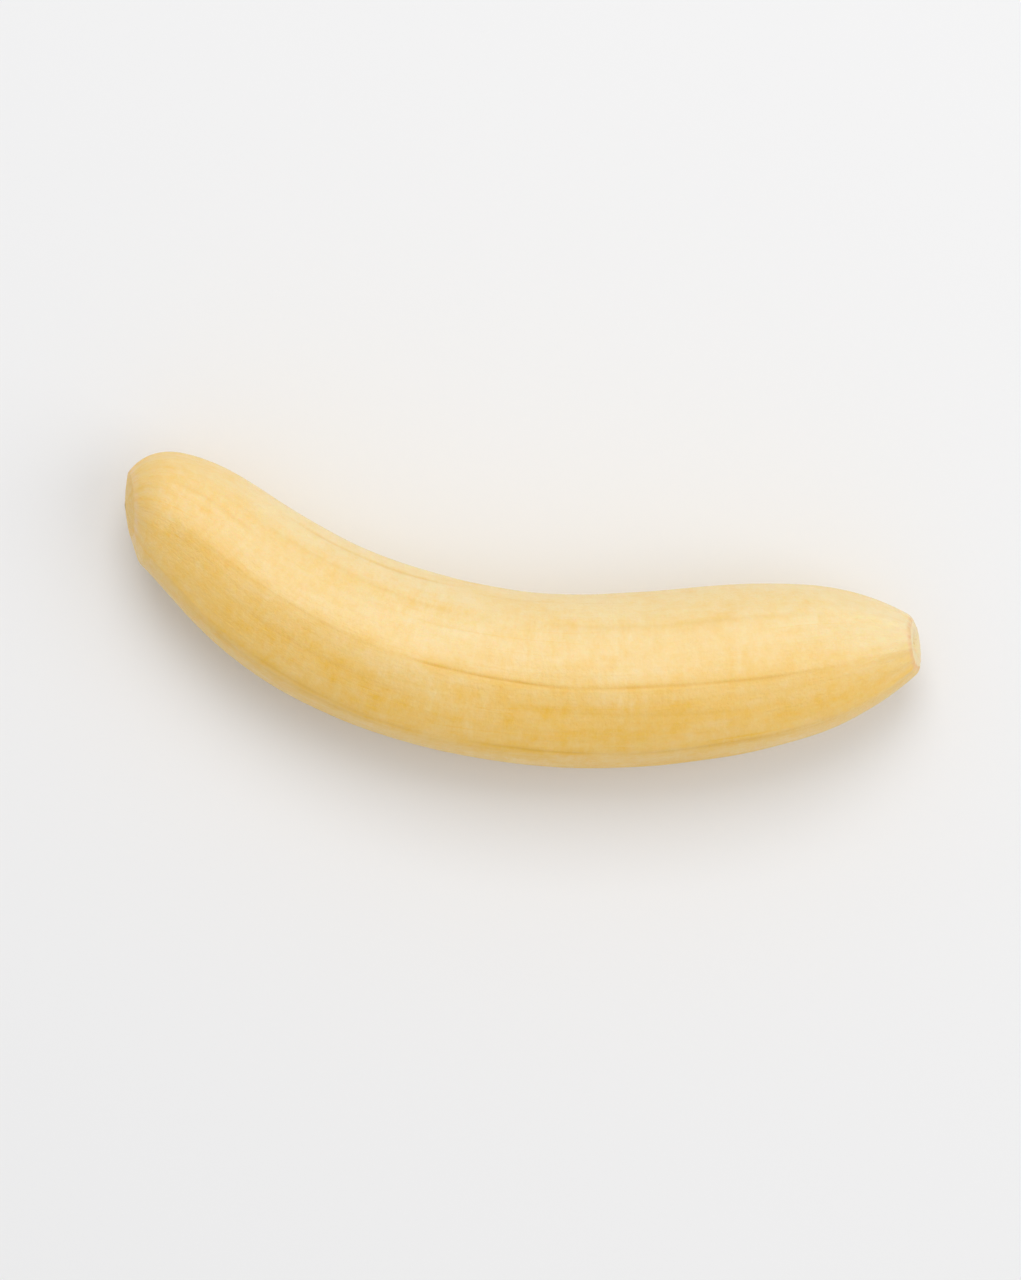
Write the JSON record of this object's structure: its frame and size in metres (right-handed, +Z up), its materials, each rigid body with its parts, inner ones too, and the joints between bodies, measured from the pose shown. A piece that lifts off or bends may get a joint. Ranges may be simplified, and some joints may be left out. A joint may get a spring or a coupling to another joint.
{
  "type": "peeled plantain",
  "caption": "One whole peeled plantain lying on its side: a bowed body with soft facets and shallow creases, a broad rounded nose and a narrow trimmed stem face",
  "frame": {"origin": "middle of the fruit's bounding box, on the plane that it rests on", "axes": "+X along the fruit from its flower end to its stem end, +Y towards the hollow side of its bow, +Z up from the surface it lies on"},
  "size_m": [0.1742, 0.0518, 0.0347],
  "materials": {
    "plantain_flesh": "satin"
  },
  "bodies": {
    "root": {"plantain": "plantain_flesh"}
  },
  "joints": []
}
